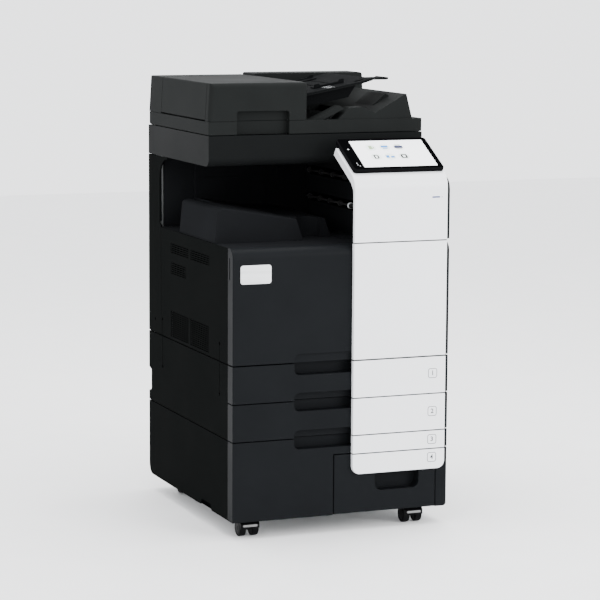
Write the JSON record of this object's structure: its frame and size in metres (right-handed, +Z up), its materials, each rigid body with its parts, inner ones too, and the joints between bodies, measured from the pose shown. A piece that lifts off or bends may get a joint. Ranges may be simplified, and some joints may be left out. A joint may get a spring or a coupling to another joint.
{
  "type": "photocopier",
  "caption": "Floor-standing office photocopier with paper trays, flatbed scanner, document feeder, tilting touch panel, output cavity, side door and swivel casters.",
  "frame": {"origin": "on the floor under the middle of the machine", "axes": "+Z up, the operator stands on the -Y side, +X is the operator's right"},
  "size_m": [0.615, 0.702, 1.19],
  "materials": {
    "charcoal_plastic": "fine grain",
    "cover_plastic": "fine grain",
    "cavity_plastic": "fine grain",
    "scanner_plastic": "fine grain",
    "feeder_plastic": "fine grain",
    "white_plastic": "satin",
    "frame_steel": "galvanised sheet",
    "bin_plastic": "moulded",
    "unit_plastic": "moulded",
    "belt_plastic": "smooth",
    "screw_steel": "zinc",
    "inlet_plastic": "moulded",
    "clear_glass": "clear",
    "screen_glass": "gloss",
    "bezel_plastic": "gloss",
    "pad_foam": "film on foam",
    "carriage_plastic": "moulded",
    "roller_rubber": "white rubber discs",
    "caster_plastic": "moulded",
    "caster_tread": "hard tread"
  },
  "bodies": {
    "machine": {"main_frame": "frame_steel", "left_base_cover": "cover_plastic", "left_lower_cover": "cover_plastic", "left_upper_cover": "cover_plastic", "left_rear_cover": "cover_plastic", "rear_cover": "cover_plastic", "cover_screws": "screw_steel", "power_inlet": "inlet_plastic", "right_covers": "charcoal_plastic", "inner_front_cover": "bin_plastic", "laser_unit": "bin_plastic", "imaging_units": "unit_plastic", "transfer_unit": "belt_plastic", "toner_cartridges": "unit_plastic", "waste_toner_box": "bin_plastic", "fuser_unit": "bin_plastic", "control_box": "frame_steel", "top_deck": "cavity_plastic", "output_tray": "cavity_plastic", "cavity_rear_wall": "cavity_plastic", "exit_unit": "cavity_plastic", "upper_front_panel": "white_plastic", "scanner_case": "scanner_plastic", "platen_glass": "clear_glass"},
    "rollers_lower": {"exit_rollers_lower": "roller_rubber"},
    "rollers_upper": {"exit_rollers_upper": "roller_rubber"},
    "door": {"front_door": "charcoal_plastic", "door_white_panel": "white_plastic"},
    "side_door": {"side_door": "cover_plastic"},
    "bypass": {"bypass_tray": "cover_plastic"},
    "panel": {"panel_housing": "bezel_plastic", "touch_screen": "screen_glass"},
    "carriage": {"scan_carriage": "carriage_plastic"},
    "feeder": {"feeder_base": "feeder_plastic", "platen_pad": "pad_foam", "feed_unit": "feeder_plastic"},
    "feeder_cover": {"feed_cover": "feeder_plastic"},
    "feeder_tray": {"document_tray": "feeder_plastic"},
    "guide_front": {"guide_front": "feeder_plastic"},
    "guide_rear": {"guide_rear": "feeder_plastic"},
    "tray_1": {"tray_1_front": "charcoal_plastic", "tray_1_bin": "bin_plastic", "tray_1_strip": "white_plastic"},
    "tray_2": {"tray_2_front": "charcoal_plastic", "tray_2_bin": "bin_plastic", "tray_2_strip": "white_plastic"},
    "tray_3": {"tray_3_front": "charcoal_plastic", "tray_3_bin": "bin_plastic", "tray_3_strip": "white_plastic"},
    "tray_4": {"tray_4_front": "charcoal_plastic", "tray_4_bin": "bin_plastic", "tray_4_strip": "white_plastic"},
    "caster_front_left": {"caster_fork_front_left": "caster_plastic"},
    "wheel_front_left": {"caster_wheel_front_left": "caster_tread"},
    "caster_front_right": {"caster_fork_front_right": "caster_plastic"},
    "wheel_front_right": {"caster_wheel_front_right": "caster_tread"},
    "caster_rear_left": {"caster_fork_rear_left": "caster_plastic"},
    "wheel_rear_left": {"caster_wheel_rear_left": "caster_tread"},
    "caster_rear_right": {"caster_fork_rear_right": "caster_plastic"},
    "wheel_rear_right": {"caster_wheel_rear_right": "caster_tread"}
  },
  "joints": [
    {"name": "door_hinge", "type": "hinge", "parent": "machine", "child": "door", "pos_m": [0, -0.345, 0.4685], "axis": [1, 0, 0], "range_deg": [0, 85]},
    {"name": "side_door_hinge", "type": "hinge", "parent": "machine", "child": "side_door", "pos_m": [0.3035, 0.214, 0.63], "axis": [0, 0, 1], "range_deg": [0, 60]},
    {"name": "bypass_hinge", "type": "hinge", "parent": "side_door", "child": "bypass", "pos_m": [0.303, -0.039, 0.5305], "axis": [0, 1, 0], "range_deg": [0, 70]},
    {"name": "panel_tilt", "type": "hinge", "parent": "machine", "child": "panel", "pos_m": [0.163, -0.3283, 0.9522], "axis": [1, 0, 0], "range_deg": [0, 25]},
    {"name": "carriage_slide", "type": "slide", "parent": "machine", "child": "carriage", "axis": [1, 0, 0], "range_m": [0, 0.45]},
    {"name": "feeder_hinge", "type": "hinge", "parent": "machine", "child": "feeder", "pos_m": [0, 0.337, 1.0555], "axis": [-1, 0, 0], "range_deg": [0, 65]},
    {"name": "feeder_cover_hinge", "type": "hinge", "parent": "feeder", "child": "feeder_cover", "pos_m": [-0.303, 0.059, 1.09], "axis": [0, -1, 0], "range_deg": [0, 75]},
    {"name": "document_tray_hinge", "type": "hinge", "parent": "feeder", "child": "feeder_tray", "pos_m": [-0.024, 0.081, 1.146], "axis": [0, -1, 0], "range_deg": [0, 20]},
    {"name": "guide_front_slide", "type": "slide", "parent": "feeder_tray", "child": "guide_front", "axis": [0, 1, 0], "range_m": [0, 0.08]},
    {"name": "guide_rear_slide", "type": "slide", "parent": "feeder_tray", "child": "guide_rear", "axis": [0, 1, 0], "range_m": [-0.08, 0]},
    {"name": "exit_lower_spin", "type": "hinge", "parent": "machine", "child": "rollers_lower", "pos_m": [0.124, -0.003, 0.844], "axis": [0, 1, 0], "continuous": true},
    {"name": "exit_upper_spin", "type": "hinge", "parent": "machine", "child": "rollers_upper", "pos_m": [0.124, -0.003, 0.9185], "axis": [0, 1, 0], "continuous": true},
    {"name": "tray_1_slide", "type": "slide", "parent": "machine", "child": "tray_1", "axis": [0, -1, 0], "range_m": [0, 0.45]},
    {"name": "tray_2_slide", "type": "slide", "parent": "machine", "child": "tray_2", "axis": [0, -1, 0], "range_m": [0, 0.45]},
    {"name": "tray_3_slide", "type": "slide", "parent": "machine", "child": "tray_3", "axis": [0, -1, 0], "range_m": [0, 0.45]},
    {"name": "tray_4_slide", "type": "slide", "parent": "machine", "child": "tray_4", "axis": [0, -1, 0], "range_m": [0, 0.45]},
    {"name": "swivel_front_left", "type": "hinge", "parent": "machine", "child": "caster_front_left", "pos_m": [-0.2495, -0.273, 0.047], "axis": [0, 0, 1], "continuous": true},
    {"name": "roll_front_left", "type": "hinge", "parent": "caster_front_left", "child": "wheel_front_left", "pos_m": [-0.2495, -0.289, 0.0225], "axis": [1, 0, 0], "continuous": true},
    {"name": "swivel_front_right", "type": "hinge", "parent": "machine", "child": "caster_front_right", "pos_m": [0.2225, -0.273, 0.047], "axis": [0, 0, 1], "continuous": true},
    {"name": "roll_front_right", "type": "hinge", "parent": "caster_front_right", "child": "wheel_front_right", "pos_m": [0.2225, -0.289, 0.0225], "axis": [1, 0, 0], "continuous": true},
    {"name": "swivel_rear_left", "type": "hinge", "parent": "machine", "child": "caster_rear_left", "pos_m": [-0.224, 0.274, 0.047], "axis": [0, 0, 1], "continuous": true},
    {"name": "roll_rear_left", "type": "hinge", "parent": "caster_rear_left", "child": "wheel_rear_left", "pos_m": [-0.224, 0.258, 0.0225], "axis": [1, 0, 0], "continuous": true},
    {"name": "swivel_rear_right", "type": "hinge", "parent": "machine", "child": "caster_rear_right", "pos_m": [0.2225, 0.274, 0.047], "axis": [0, 0, 1], "continuous": true},
    {"name": "roll_rear_right", "type": "hinge", "parent": "caster_rear_right", "child": "wheel_rear_right", "pos_m": [0.2225, 0.258, 0.0225], "axis": [1, 0, 0], "continuous": true}
  ],
  "couplings": [
    {"joint": "guide_rear_slide", "follows": "guide_front_slide", "ratio": -1}
  ]
}
